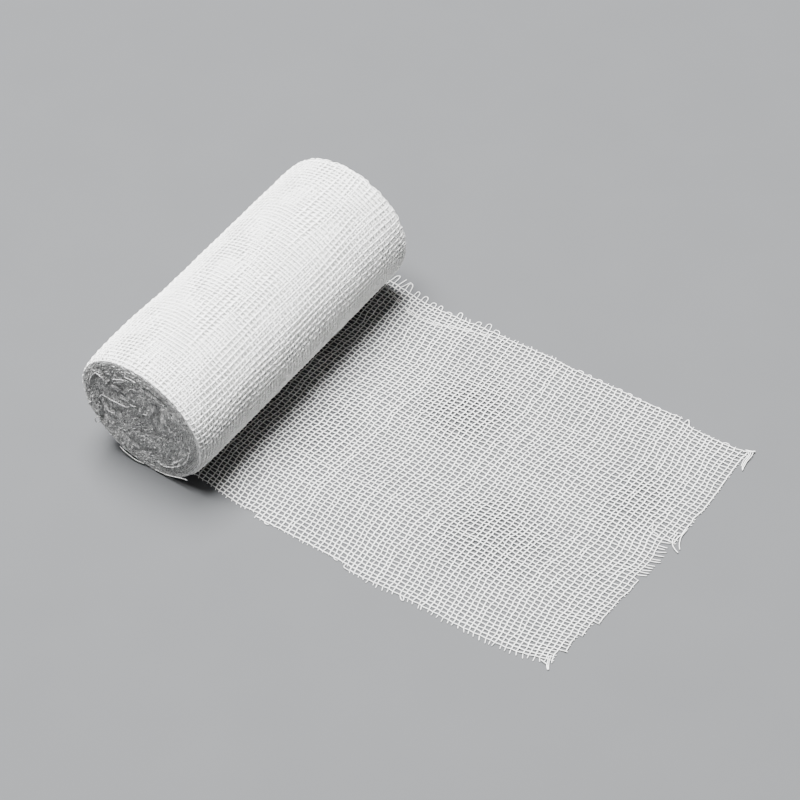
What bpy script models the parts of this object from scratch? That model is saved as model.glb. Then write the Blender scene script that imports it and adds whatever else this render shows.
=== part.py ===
"""Roll of woven gauze bandage lying on its side, with its loose end laid out flat.

Frame: +X the way the loose end runs, +Y along the roll, +Z up, origin at the bottom centre of the whole part.
The shapes are modelled about the roll's axis line on the floor and moved over the origin at the end.
"""
import math

import bmesh
import bpy

# Driving dimensions, metres
cloth_thickness = 0.001        # the open cloth as a plain sheet
layer_pitch = 0.00035          # growth of the roll's radius in one turn
piece_gap = 0.0004             # between neighbouring solids
pick_pitch = 0.00179           # spacing of the weft threads
end_pitch = 0.001395           # spacing of the warp threads

# Roll
roll_sag = 0.012               # wider and lower than round by this share
flat_spot_depth = 0.0006       # how far the underside is pressed flat
roll_body_half = 0.042         # the straight part of the roll reaches this far from its middle
roll_sides = 72
face_rings = (0.95, 0.86, 0.74, 0.61, 0.48, 0.34, 0.21, 0.10)
face_dish = 0.0006
face_fold = 0.00028            # height of the folds that run round the faces

# Radius along the roll, y from its middle: soft rims and a slight taper to the near end
roll_sections = (
    {"y": -0.0516, "radius": 0.0216},
    {"y": -0.0513, "radius": 0.0223},
    {"y": -0.0504, "radius": 0.0228},
    {"y": -0.0480, "radius": 0.0231},
    {"y": -0.0420, "radius": 0.02325},
    {"y": -0.0300, "radius": 0.02332},
    {"y": -0.0150, "radius": 0.0234},
    {"y": 0.0000, "radius": 0.0235},
    {"y": 0.0150, "radius": 0.02358},
    {"y": 0.0300, "radius": 0.02366},
    {"y": 0.0420, "radius": 0.02372},
    {"y": 0.0490, "radius": 0.02368},
    {"y": 0.0510, "radius": 0.0235},
    {"y": 0.0519, "radius": 0.0231},
    {"y": 0.0522, "radius": 0.0225},
)

# The outermost turns stand off the roll at its back, further towards the near end
slack_turn = math.radians(148)
slack_spread = math.radians(75)
slack_depths = (
    {"y": -0.052, "depth": 0.0009},
    {"y": -0.044, "depth": 0.0013},
    {"y": -0.030, "depth": 0.0014},
    {"y": -0.016, "depth": 0.0006},
    {"y": 0.052, "depth": 0.0004},
)

# Lumps and hollows of the crumpled end faces: place as shares of the radius and of a turn, reach, height
face_lumps = (
    {"share": 0.58, "turn": 0.10, "reach": 0.34, "height": 0.0007},
    {"share": 0.42, "turn": 0.36, "reach": 0.28, "height": -0.0010},
    {"share": 0.66, "turn": 0.52, "reach": 0.26, "height": 0.0006},
    {"share": 0.55, "turn": 0.74, "reach": 0.32, "height": -0.0007},
    {"share": 0.12, "turn": 0.62, "reach": 0.24, "height": 0.0006},
    {"share": 0.74, "turn": 0.90, "reach": 0.22, "height": -0.0004},
)

# Side edges of the loose end, x from the roll's axis, near and far from the roll's middle
tail_start = 0.0094
tail_edges = (
    {"x": 0.009, "near": -0.0466, "far": 0.0522},
    {"x": 0.020, "near": -0.0480, "far": 0.0524},
    {"x": 0.030, "near": -0.0497, "far": 0.0521},
    {"x": 0.040, "near": -0.0504, "far": 0.0518},
    {"x": 0.060, "near": -0.0507, "far": 0.0523},
    {"x": 0.072, "near": -0.0508, "far": 0.0529},
    {"x": 0.074, "near": -0.0517, "far": 0.0530},
    {"x": 0.090, "near": -0.0516, "far": 0.0530},
    {"x": 0.110, "near": -0.0518, "far": 0.0517},
    {"x": 0.127, "near": -0.0514, "far": 0.0515},
    {"x": 0.129, "near": -0.0511, "far": 0.0502},
    {"x": 0.140, "near": -0.0494, "far": 0.0496},
    {"x": 0.153, "near": -0.0478, "far": 0.0495},
)

# Free end of the cloth, x of its last pick at places across the width
tail_ends = (
    {"y": -0.050, "x": 0.1438},
    {"y": -0.040, "x": 0.1447},
    {"y": -0.030, "x": 0.1463},
    {"y": -0.020, "x": 0.1477},
    {"y": -0.0085, "x": 0.1490},
    {"y": 0.0065, "x": 0.1492},
    {"y": 0.0085, "x": 0.1518},
    {"y": 0.030, "x": 0.1519},
    {"y": 0.045, "x": 0.1518},
    {"y": 0.050, "x": 0.1523},
)

# Lines where the edge strips part from the sheet, about 2 mm inside its edges
side_cuts = (
    {"x": 0.009, "near": -0.0446, "far": 0.0500},
    {"x": 0.040, "near": -0.0482, "far": 0.0497},
    {"x": 0.080, "near": -0.0491, "far": 0.0502},
    {"x": 0.110, "near": -0.0494, "far": 0.0492},
    {"x": 0.153, "near": -0.0458, "far": 0.0470},
)
end_cuts = (
    {"y": -0.050, "x": 0.1416},
    {"y": -0.020, "x": 0.1456},
    {"y": 0.010, "x": 0.1472},
    {"y": 0.050, "x": 0.1496},
)

# Low swells of the loose end: centre, reach along and across, and height
tail_swells = (
    {"x": 0.034, "y": -0.012, "along": 0.016, "across": 0.026, "height": 0.0007},
    {"x": 0.068, "y": 0.020, "along": 0.022, "across": 0.022, "height": 0.0009},
    {"x": 0.104, "y": -0.018, "along": 0.026, "across": 0.024, "height": 0.0008},
    {"x": 0.132, "y": 0.016, "along": 0.014, "across": 0.022, "height": 0.0006},
)
tail_columns = 38
tail_rows = 22

# Fringes: strips parted from the cloth's edges, with the thread ends that stand out of them
strand_width = 0.0007
strand_tip_width = 0.00045
strand_tip_height = 0.0005
strand_lean = 0.25             # sideways share of a strand's reach, at most
strand_unevenness = (1.0, 0.72, 1.12, 0.55, 0.9, 1.2, 0.8)
far_fringe = (
    {"x": 0.009, "length": 0.0020},
    {"x": 0.013, "length": 0.0034},
    {"x": 0.030, "length": 0.0030},
    {"x": 0.046, "length": 0.0024},
    {"x": 0.060, "length": 0.0014},
    {"x": 0.100, "length": 0.0008},
    {"x": 0.153, "length": 0.0006},
)
near_fringe = (
    {"x": 0.009, "length": 0.0004},
    {"x": 0.028, "length": 0.0009},
    {"x": 0.070, "length": 0.0005},
    {"x": 0.082, "length": 0.0013},
    {"x": 0.120, "length": 0.0018},
    {"x": 0.145, "length": 0.0022},
)
end_fringe = (
    {"y": -0.050, "length": 0.0005},
    {"y": -0.010, "length": 0.0006},
    {"y": -0.0085, "length": 0.0025},
    {"y": 0.0065, "length": 0.0026},
    {"y": 0.0085, "length": 0.0005},
    {"y": 0.050, "length": 0.0004},
)


def read_table(table, key, place, column):
    """Value of a column at a place, straight between the table's rows."""
    if place <= table[0][key]:
        return table[0][column]
    for low, high in zip(table, table[1:]):
        if place <= high[key]:
            share = (place - low[key]) / (high[key] - low[key])
            return low[column] + share * (high[column] - low[column])
    return table[-1][column]


def make_material(name, colour, roughness):
    material = bpy.data.materials.new(name)
    material.use_nodes = True
    shader = material.node_tree.nodes["Principled BSDF"]
    shader.inputs["Base Color"].default_value = (*colour, 1.0)
    shader.inputs["Roughness"].default_value = roughness
    shader.inputs["Metallic"].default_value = 0.0
    return material


def add_object(name, bm, material, smooth=False):
    """Turn a finished bmesh into a named object with its material."""
    bmesh.ops.recalc_face_normals(bm, faces=bm.faces)
    mesh = bpy.data.meshes.new(name)
    bm.to_mesh(mesh)
    bm.free()
    mesh.materials.append(material)
    if smooth:
        mesh.shade_smooth()
        mesh.set_sharp_from_angle(angle=math.radians(50))
    piece = bpy.data.objects.new(name, mesh)
    bpy.context.collection.objects.link(piece)
    return piece


def slack(angle, y):
    """How far the outermost turns stand off: a squared cosine round the roll about the slackest place."""
    away = abs((angle - slack_turn + math.pi) % math.tau - math.pi) / slack_spread
    return read_table(slack_depths, "y", y, "depth") * math.cos(min(away, 1.0) * math.pi / 2) ** 2


def roll_radius(section_radius, angle, y):
    """Radius at an angle from +X: the spiral grows over one turn from the underside, with slight lobes."""
    turn = ((angle + math.pi / 2) / math.tau) % 1.0
    lobes = 0.00012 * math.sin(2 * angle + 0.6) + 0.00008 * math.sin(5 * angle)
    return section_radius + layer_pitch * (turn - 0.5) + lobes + slack(angle, y)


def roll_point(section_radius, angle, y):
    """Point on the wound surface, sagged, and pressed flat where it meets the floor."""
    radius = roll_radius(section_radius, angle, y)
    x = radius * (1 + roll_sag) * math.cos(angle)
    rise = radius * math.sin(angle)
    centre_height = body_height(y)
    z = centre_height + (1 - roll_sag) * rise
    return (x, y, max(z, 0.0))


def body_height(y):
    """Height of the roll's axis, from the radius that the body has under it."""
    held = min(max(y, -roll_body_half), roll_body_half)
    return read_table(roll_sections, "y", held, "radius") * (1 - roll_sag) - flat_spot_depth


def face_relief(share, angle, turned):
    """How far an end face stands out at a share of its radius: lumps, winding folds and a dish, calm at the rim."""
    across = share * math.cos(angle)
    up = share * math.sin(angle)
    relief = 0.0
    for lump in face_lumps:
        lump_angle = math.tau * (lump["turn"] + turned)
        offset_across = across - lump["share"] * math.cos(lump_angle)
        offset_up = up - lump["share"] * math.sin(lump_angle)
        distance = math.hypot(offset_across, offset_up) / lump["reach"]
        if distance < 1:
            relief += lump["height"] * 0.5 * (1 + math.cos(math.pi * distance))
    relief += face_fold * math.sin(17 * share + 1.6 * math.sin(angle + 3 * turned))
    return relief * (1 - share ** 6) - face_dish * (1 - share) ** 2


def make_roll(material):
    """The wound cloth: rings of points bridged along the length, closed by two crumpled faces."""
    bm = bmesh.new()
    angles = [math.tau * (side + 0.5) / roll_sides - math.pi / 2 for side in range(roll_sides)]

    def bridge(ring_a, ring_b):
        for side in range(roll_sides):
            after = (side + 1) % roll_sides
            bm.faces.new((ring_a[side], ring_a[after], ring_b[after], ring_b[side]))

    rings = []
    for section in roll_sections:
        points = [roll_point(section["radius"], angle, section["y"]) for angle in angles]
        rings.append([bm.verts.new(point) for point in points])
    for ring_a, ring_b in zip(rings, rings[1:]):
        bridge(ring_a, ring_b)

    for rim, section, outward, turned in (
        (rings[0], roll_sections[0], -1, 0.0),
        (rings[-1], roll_sections[-1], 1, 0.31),
    ):
        centre_height = body_height(section["y"])
        outer = rim
        for share in face_rings:
            inner = []
            for angle, vert in zip(angles, rim):
                x = vert.co.x * share
                z = centre_height + (vert.co.z - centre_height) * share
                y = section["y"] + outward * face_relief(share, angle, turned)
                inner.append(bm.verts.new((x, y, z)))
            bridge(outer, inner)
            outer = inner
        y = section["y"] + outward * face_relief(0.0, 0.0, turned)
        middle = bm.verts.new((0.0, y, centre_height))
        for side in range(roll_sides):
            bm.faces.new((outer[side], outer[(side + 1) % roll_sides], middle))
    return add_object("roll", bm, material, smooth=True)


def tail_lift(x, y):
    """Height of the loose end's underside: low swells that die out towards its side edges."""
    near = read_table(side_cuts, "x", x, "near")
    far = read_table(side_cuts, "x", x, "far")
    middle = (near + far) / 2
    half = (far - near) / 2
    inside = max(0.0, 1 - ((y - middle) / half) ** 4)
    height = 0.0
    for swell in tail_swells:
        reach_x = (x - swell["x"]) / swell["along"]
        reach_y = (y - swell["y"]) / swell["across"]
        distance = math.hypot(reach_x, reach_y)
        if distance < 1:
            height += swell["height"] * 0.5 * (1 + math.cos(math.pi * distance))
    return height * inside


def lay_grid(columns, rows, place):
    """A grid of quads whose vertices are placed by a function of two shares, thickened upwards."""
    bm = bmesh.new()
    bmesh.ops.create_grid(bm, x_segments=columns, y_segments=rows, size=0.5)
    for vert in bm.verts:
        vert.co = place(vert.co.x + 0.5, vert.co.y + 0.5)
    top = bmesh.ops.extrude_face_region(bm, geom=bm.faces[:])
    raised = [item for item in top["geom"] if isinstance(item, bmesh.types.BMVert)]
    bmesh.ops.translate(bm, verts=raised, vec=(0, 0, cloth_thickness))
    return bm


def make_tail(material):
    """The loose end without its edge strips."""
    def place(along, across):
        y_end = side_cuts[-1]["near"] + across * (side_cuts[-1]["far"] - side_cuts[-1]["near"])
        x_end = read_table(end_cuts, "y", y_end, "x") - piece_gap
        x = tail_start + along * (x_end - tail_start)
        near = read_table(side_cuts, "x", x, "near") + piece_gap
        far = read_table(side_cuts, "x", x, "far") - piece_gap
        y = near + across * (far - near)
        return (x, y, tail_lift(x, y))

    return add_object("tail", lay_grid(tail_columns, tail_rows, place), material)


def make_fringe(name, material, stations, inner_point, outer_point, length_at, outward):
    """A strip between an inner and an outer line, with a thread end standing out of every other segment."""
    def place(along, across):
        station = stations[round(along * (len(stations) - 1))]
        x, y = outer_point(station) if across > 0.5 else inner_point(station)
        return (x, y, 0.0)

    bm = lay_grid(len(stations) - 1, 1, place)
    bm.faces.ensure_lookup_table()
    roots = []
    for face in bm.faces:
        centre = face.calc_center_median()
        if abs(face.normal.z) > 0.5:
            continue
        for index in range(0, len(stations) - 1, 2):
            x_a, y_a = outer_point(stations[index])
            x_b, y_b = outer_point(stations[index + 1])
            if math.hypot(centre.x - (x_a + x_b) / 2, centre.y - (y_a + y_b) / 2) < 1e-5:
                roots.append((face, index))
    strands = bmesh.ops.extrude_discrete_faces(bm, faces=[face for face, index in roots])
    for face, (root, index) in zip(strands["faces"], roots):
        middle = face.calc_center_median()
        length = length_at((stations[index] + stations[index + 1]) / 2, index // 2)
        lean = length * strand_lean * math.sin(1.7 * index)
        tip_x = middle.x + outward[0] * length - outward[1] * lean
        tip_y = middle.y + outward[1] * length + outward[0] * lean
        narrowing = strand_tip_width / strand_width
        for vert in face.verts:
            vert.co.x = tip_x + (vert.co.x - middle.x) * narrowing
            vert.co.y = tip_y + (vert.co.y - middle.y) * narrowing
            vert.co.z = min(vert.co.z, strand_tip_height)
    return add_object(name, bm, material)


def strand_stations(start, end, pitch):
    """Both sides of every strand's root from start to end: a strand's width, then the bare edge to the next."""
    count = int((end - start) / pitch)
    stations = []
    for strand in range(count):
        stations.append(start + strand * pitch)
        stations.append(start + strand * pitch + strand_width)
    stations.append(end)
    return stations


def make_fringes(material):
    """The strips along the far side, the near side and the free end."""
    far_end = read_table(tail_ends, "y", 0.049, "x")
    near_end = read_table(tail_ends, "y", -0.049, "x")

    def length_from(table, key):
        def length_at(place, strand):
            unevenness = strand_unevenness[strand % len(strand_unevenness)]
            return read_table(table, key, place, "length") * unevenness
        return length_at

    pieces = [
        make_fringe(
            "fringe_far", material, strand_stations(tail_start, far_end, pick_pitch),
            lambda x: (x, read_table(side_cuts, "x", x, "far")),
            lambda x: (x, read_table(tail_edges, "x", x, "far")),
            length_from(far_fringe, "x"), (0, 1)),
        make_fringe(
            "fringe_near", material, strand_stations(tail_start, near_end, pick_pitch),
            lambda x: (x, read_table(side_cuts, "x", x, "near")),
            lambda x: (x, read_table(tail_edges, "x", x, "near")),
            length_from(near_fringe, "x"), (0, -1)),
    ]
    low = read_table(side_cuts, "x", near_end, "near") + piece_gap
    high = read_table(side_cuts, "x", far_end, "far") - piece_gap
    pieces.append(make_fringe(
        "fringe_end", material, strand_stations(low, high, end_pitch),
        lambda y: (read_table(end_cuts, "y", y, "x"), y),
        lambda y: (read_table(tail_ends, "y", y, "x"), y),
        length_from(end_fringe, "y"), (1, 0)))
    return pieces


def centre_over_origin(pieces):
    """Move every mesh so that the whole part stands over the origin, its lowest point at z = 0."""
    points = [vert.co for piece in pieces for vert in piece.data.vertices]
    low = [min(point[axis] for point in points) for axis in range(3)]
    high = [max(point[axis] for point in points) for axis in range(3)]
    shift = (-(low[0] + high[0]) / 2, -(low[1] + high[1]) / 2, -low[2])
    for piece in pieces:
        for vert in piece.data.vertices:
            vert.co.x += shift[0]
            vert.co.y += shift[1]
            vert.co.z += shift[2]


def main():
    for leftover in list(bpy.data.objects):
        bpy.data.objects.remove(leftover)
    rolled_gauze = make_material("rolled gauze", (0.86, 0.86, 0.85), 0.95)
    open_gauze = make_material("open gauze", (0.84, 0.84, 0.83), 0.95)
    loose_threads = make_material("loose threads", (0.88, 0.88, 0.87), 0.95)
    pieces = [make_roll(rolled_gauze), make_tail(open_gauze)]
    pieces += make_fringes(loose_threads)
    centre_over_origin(pieces)


main()
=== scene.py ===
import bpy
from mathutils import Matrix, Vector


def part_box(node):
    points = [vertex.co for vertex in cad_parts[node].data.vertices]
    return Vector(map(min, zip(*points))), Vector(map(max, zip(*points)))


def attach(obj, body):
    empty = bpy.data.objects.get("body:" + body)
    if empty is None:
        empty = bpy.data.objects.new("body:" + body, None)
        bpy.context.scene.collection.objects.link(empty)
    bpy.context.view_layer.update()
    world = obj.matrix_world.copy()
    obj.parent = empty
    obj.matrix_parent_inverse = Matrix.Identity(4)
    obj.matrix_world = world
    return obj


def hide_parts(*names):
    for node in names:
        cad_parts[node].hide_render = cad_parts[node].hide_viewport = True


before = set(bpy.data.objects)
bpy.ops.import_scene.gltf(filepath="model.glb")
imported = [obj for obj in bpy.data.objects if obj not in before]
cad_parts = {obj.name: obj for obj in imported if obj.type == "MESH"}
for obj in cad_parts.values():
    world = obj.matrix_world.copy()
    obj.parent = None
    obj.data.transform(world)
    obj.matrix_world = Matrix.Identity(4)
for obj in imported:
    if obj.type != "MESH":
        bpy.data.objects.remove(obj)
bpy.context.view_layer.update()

import math

import bpy
import numpy as np
from mathutils import Quaternion, Vector

# Roll of gauze bandage on its side, its loose end laid out flat to +X.
# Every thread of the loose end and of the roll's outer turns is a fine tube.
# Places are measured from the roll's axis line on the floor (x) and the roll's middle (y), as in the solids.

mm = 0.001
rollLow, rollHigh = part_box("roll")
axisX = rollHigh.x - 23.99 * mm       # the roll is round at the front, slack at the back
middleY = (rollLow.y + rollHigh.y) / 2 - 0.38 * mm

cloth = {
    "warps": 74,
    "warpPitch": 1.395 * mm,
    "pickPitch": 1.79 * mm,
}


def smooth(value):
    # 3v^2 - 2v^3 of the value held between 0 and 1
    held = np.clip(value, 0, 1)
    return held * held * (3 - 2 * held)


def softNoise(seed, reach, *places):
    # Sum of sine waves with seeded directions and phases and wavelengths near the reach, about -1 to 1
    draw = np.random.default_rng(seed)
    total = 0
    for wave in range(14):
        direction = draw.normal(size=len(places))
        direction /= np.linalg.norm(direction)
        frequency = math.tau / reach * draw.uniform(0.55, 1.6)
        phase = draw.uniform(0, math.tau)
        total = total + np.sin(frequency * sum(d * p for d, p in zip(direction, places)) + phase)
    return total / 4.2


def curved(table, place):
    # Cubic between the table's stops, given in mm; the slope at a stop comes from both its neighbours
    stops, values = np.asarray(table, float).T * mm
    slopes = np.gradient(values, stops)
    step = np.clip(np.searchsorted(stops, place) - 1, 0, len(stops) - 2)
    width = stops[step + 1] - stops[step]
    t = np.clip((place - stops[step]) / width, 0, 1)
    rise = t * t * (3 - 2 * t)
    return (values[step] * (1 - rise) + values[step + 1] * rise
            + width * t * (1 - t) * ((1 - t) * slopes[step] - t * slopes[step + 1]))


def splineThrough(stops, count):
    # Catmull-Rom curve through the stops, count points evenly spaced in the stops' numbering
    stops = np.asarray(stops, float)
    padded = np.vstack([2 * stops[0] - stops[1], stops, 2 * stops[-1] - stops[-2]])
    place = np.linspace(0, len(stops) - 1, count)
    step = np.minimum(place.astype(int), len(stops) - 2)
    t = (place - step)[:, None]
    a, b, c, d = (padded[step + k] for k in range(4))
    return 0.5 * (2 * b + (c - a) * t + (2 * a - 5 * b + 4 * c - d) * t ** 2
                  + (3 * b - a - 3 * c + d) * t ** 3)


def wanderAlong(draw, amount, count, length):
    # Unevenness of each thread: random steps averaged over three neighbours along it
    steps = draw.normal(0, amount, (count, length + 2))
    return 0.3 * steps[:, :-2] + 0.62 * steps[:, 1:-1] + 0.3 * steps[:, 2:]


def unit(vectors):
    # each vector divided by its length
    return vectors / np.maximum(np.linalg.norm(vectors, axis=-1, keepdims=True), 1e-12)


class Bundle:
    # Threads gathered into one mesh: closed tubes with each thread's tone and each corner's height on it

    def __init__(self):
        self.points = []
        self.faces = []
        self.tones = []
        self.tops = []
        self.count = 0

    def add(self, centres, normals, width, height, sides, tone):
        # centres and normals: threads by rings by 3. A ring is an ellipse:
        # centre + width/2 * cos(turn) * across + height/2 * sin(turn) * up, from one corner at the top
        centres = np.asarray(centres, float)
        if centres.ndim == 2:
            centres = centres[None]
        threads, rings = centres.shape[:2]
        along = unit(np.gradient(centres, axis=1))
        across = unit(np.cross(along, np.broadcast_to(normals, centres.shape)))
        up = np.cross(across, along)
        turn = np.arange(sides) * math.tau / sides + math.pi / 2
        half = np.broadcast_to(np.asarray(width) / 2, (threads, rings))[..., None, None]
        tall = np.broadcast_to(np.asarray(height) / 2, (threads, rings))[..., None, None]
        spread = (half * np.cos(turn)[:, None] * across[:, :, None]
                  + tall * np.sin(turn)[:, None] * up[:, :, None])
        corner = self.count + np.arange(threads * rings * sides).reshape(threads, rings, sides)
        after = np.roll(corner, -1, axis=2)
        walls = np.stack([corner[:, :-1], corner[:, 1:], after[:, 1:], after[:, :-1]], axis=-1).reshape(-1, 4)
        self.faces += walls.tolist() + corner[:, 0].tolist() + corner[:, -1, ::-1].tolist()
        self.points.append((centres[:, :, None] + spread).reshape(-1, 3))
        tones = np.asarray(tone, float)
        tones = tones[:, None] if tones.ndim == 1 else tones
        tones = np.broadcast_to(tones, (threads, rings))
        self.tones.append(np.repeat(tones.ravel(), sides))
        # each corner's height round the ring, 0 at the bottom to 1 at the top; the loose threads' finish
        # paints shade on the low corners from it
        self.tops.append(np.tile((1 + np.sin(turn)) / 2, threads * rings))
        self.count += threads * rings * sides

    def make(self, name, material, slot):
        mesh = bpy.data.meshes.new(name)
        mesh.from_pydata(np.concatenate(self.points).tolist(), [], self.faces)
        for attribute, values in (("threadTone", self.tones), ("threadTop", self.tops)):
            layer = mesh.attributes.new(attribute, "FLOAT", "POINT")
            layer.data.foreach_set("value", np.concatenate(values).astype(np.float32))
        return addPiece(name, mesh, material)


def addPiece(name, mesh, material):
    mesh.shade_smooth()
    mesh.materials.append(material)
    piece = bpy.data.objects.new(name, mesh)
    bpy.context.collection.objects.link(piece)
    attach(piece, "root")
    print(f"{name}: {sum(len(face.vertices) - 2 for face in mesh.polygons)} triangles")
    return piece


class Value:
    # A socket that takes part in sums; each operation adds a Math node

    def __init__(self, finish, socket):
        self.finish = finish
        self.socket = socket

    def combine(self, operation, first, second):
        node = self.finish.node("ShaderNodeMath", {"operation": operation}, {0: first, 1: second})
        return Value(self.finish, node.outputs[0])

    def __add__(self, other): return self.combine("ADD", self, other)
    def __radd__(self, other): return self.combine("ADD", other, self)
    def __sub__(self, other): return self.combine("SUBTRACT", self, other)
    def __mul__(self, other): return self.combine("MULTIPLY", self, other)
    def __rmul__(self, other): return self.combine("MULTIPLY", other, self)


class Finish:
    # A material with its Principled shader, built node by node

    def __init__(self, name, roughness, sheen=0.0):
        self.material = bpy.data.materials.new(name)
        self.material.use_nodes = True
        self.tree = self.material.node_tree
        self.shader = self.tree.nodes["Principled BSDF"]
        self.shader.inputs["Roughness"].default_value = roughness
        self.shader.inputs["Specular IOR Level"].default_value = 0.25
        self.shader.inputs["Sheen Weight"].default_value = sheen

    def node(self, kind, settings=None, sockets=None):
        node = self.tree.nodes.new(kind)
        for key, setting in (settings or {}).items():
            setattr(node, key, setting)
        for key, value in (sockets or {}).items():
            self.plug(value, node.inputs[key])
        return node

    def plug(self, value, socket):
        if isinstance(value, Value):
            value = value.socket
        if isinstance(value, bpy.types.NodeSocket):
            self.tree.links.new(value, socket)
        else:
            socket.default_value = value

    def noise(self, scale, detail=2.0):
        place = self.node("ShaderNodeTexCoord").outputs["Object"]
        node = self.node("ShaderNodeTexNoise", {}, {"Vector": place, "Scale": scale, "Detail": detail})
        return Value(self, node.outputs[0])

    def attribute(self, name):
        node = self.node("ShaderNodeAttribute", {"attribute_name": name})
        return Value(self, node.outputs["Fac"])

    def colour(self, factor, low, high):
        node = self.node("ShaderNodeMix", {"data_type": "RGBA"}, {0: factor, 6: (*low, 1), 7: (*high, 1)})
        self.plug(node.outputs[2], self.shader.inputs["Base Color"])

    def bump(self, height, distance, strength):
        node = self.node("ShaderNodeBump", {}, {"Height": height, "Distance": distance, "Strength": strength})
        self.plug(node.outputs[0], self.shader.inputs["Normal"])


def cottonTone(finish):
    # differs a little from thread to thread and along each one
    return 0.65 * finish.attribute("threadTone") + 0.35 * finish.noise(420, 3)


def bleachedThread(name, low, high):
    # Cotton thread of the wound turns
    finish = Finish(name, 0.9, sheen=0.1)
    finish.colour(cottonTone(finish), (low, low, low - 0.01), (high, high, high - 0.01))
    finish.bump(finish.noise(5200, 2), 0.00006, 0.5)
    return finish.material


def layerEdge():
    # Edges of the wound layers, pale with fine dark gaps, 4.2 * (noise - 0.5) + 0.5: painted shade in the
    # crevices between the edges, over a tone that differs at random from thread to thread
    finish = Finish("edgeThread", 0.95)
    creviceShade = 4.2 * (finish.noise(2300, 2) - 0.5) + 0.5
    finish.colour(0.25 * finish.attribute("threadTone") + 0.6 * creviceShade + 0.15 * finish.noise(300, 3),
                  (0.11, 0.11, 0.11), (0.84, 0.84, 0.83))
    return finish.material


def sideShadedThread(low, high):
    # Single threads on the floor: pale along the top and dim at the sides as top^3, painted shade on their
    # sides and undersides, so that they look finer
    finish = Finish("sideShadedThread", 0.95)
    top = finish.attribute("threadTop")
    shade = top * top * top * (0.80 + 0.20 * cottonTone(finish))
    finish.colour(shade, (low, low, low - 0.01), (high, high, high - 0.01))
    finish.bump(finish.noise(5200, 2), 0.00006, 0.5)
    return finish.material


def packedTurns():
    # The turns under the outer ones, seen through them, painted a little darker than the threads over them:
    # painted shade in the gaps between those threads, with a tone that differs at random
    finish = Finish("packedTurns", 0.95, sheen=0.1)
    finish.colour(finish.noise(900, 3), (0.74, 0.74, 0.73), (0.90, 0.90, 0.89))
    finish.bump(finish.noise(1500, 3), 0.0003, 0.7)
    return finish.material


# the loose threads' colour runs from painted shade at 0.30 on their undersides to 0.98 along their tops
looseFinish = sideShadedThread(0.30, 0.98)
outerFinish = bleachedThread("outerThread", 0.80, 0.90)
# the inner turns are painted a shade paler than the outer one: painted light that comes through the outer
# turn's threads
innerFinish = bleachedThread("innerThread", 0.84, 0.94)
edgeFinish = layerEdge()
packedFinish = packedTurns()
print("materials made")


roll = {
    "ends": {-1: -51.6 * mm, 1: 52.2 * mm},
    "girth": 147.65 * mm,
    "sections": (                  # y, radius: soft rims and a slight taper to the near end
        (-51.6, 21.6), (-51.3, 22.3), (-50.4, 22.8), (-48, 23.1), (-42, 23.25), (-30, 23.32), (0, 23.5),
        (30, 23.66), (42, 23.72), (49, 23.68), (51, 23.5), (51.9, 23.1), (52.2, 22.5),
    ),
    "slackTurn": math.radians(148),
    "slackSpread": math.radians(75),
    "slack": ((-52, 0.9), (-44, 1.3), (-30, 1.4), (-16, 0.6), (52, 0.4)),  # y, how far the turns stand off
    "bodyHalf": 42 * mm,
    "sag": 0.012,
    "layerPitch": 0.35 * mm,
    "flatDepth": 0.6 * mm,
}


def rollRadius(y):
    # straight between the sections
    places, radii = np.asarray(roll["sections"], float).T * mm
    return np.interp(y, places, radii)


def rollSlack(angle, y):
    # depth * cos^2 of the turn away from the slackest place, 0 past the spread
    places, depths = np.asarray(roll["slack"], float).T * mm
    away = np.abs((angle - roll["slackTurn"] + math.pi) % math.tau - math.pi) / roll["slackSpread"]
    return np.interp(y, places, depths) * np.cos(np.minimum(away, 1) * math.pi / 2) ** 2


def rollCentre(y):
    # the axis height: radius of the body, sagged, less the pressed flat
    held = np.clip(y, -roll["bodyHalf"], roll["bodyHalf"])
    return rollRadius(held) * (1 - roll["sag"]) - roll["flatDepth"]


def rollPoint(turn, y, inward):
    # On the spiral: angle = 360 * turn - 90 degrees; the radius grows by one layer in a turn, less inward
    angle = math.tau * turn - math.pi / 2
    lobes = 0.12 * mm * np.sin(2 * angle + 0.6) + 0.08 * mm * np.sin(5 * angle)
    radius = rollRadius(y) + roll["layerPitch"] * (turn - 0.5) + lobes + rollSlack(angle, y) - inward
    x = axisX + radius * (1 + roll["sag"]) * np.cos(angle)
    z = rollCentre(y) + radius * (1 - roll["sag"]) * np.sin(angle)
    z = np.maximum(z, np.maximum(inward, 0.12 * mm) * 0.9)
    normal = np.stack(np.broadcast_arrays(np.cos(angle), 0.0 * y, np.sin(angle)), axis=-1)
    return np.stack(np.broadcast_arrays(x, middleY + y, z), axis=-1), normal


turns = {
    "shown": 3,
    "picksRound": 82.5,
    "threadWidth": 0.42 * mm,
    "threadHeight": 0.30 * mm,
    "warpCrimp": 0.03 * mm,        # the warps are wound taut, so the picks do the bending
    "pickCrimp": 0.17 * mm,
    "depth": 0.20 * mm,            # middle of the outer turn below the roll's surface
    "drift": 0.30 * mm,            # from one side to the other in a turn, and back in the next
    "selvedge": 0.30 * mm,         # from the roll's end to the first warp
    "rimLoop": {-1: 0.12 * mm, 1: 0.42 * mm},  # how far the weft loops stand out at the near and far rim
    "rimWraps": 4,                 # warps of the turns below that lie bare at a rim
    "wrapRings": 150,
    "wrapIn": (0.1, 0.9),          # mm in from the roll's end, and the spread of that over the wraps
    "wrapDown": 0.42 * mm,         # below the roll's surface
    "rimWidth": 0.34 * mm,
    "rimHeight": 0.30 * mm,
}


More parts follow.
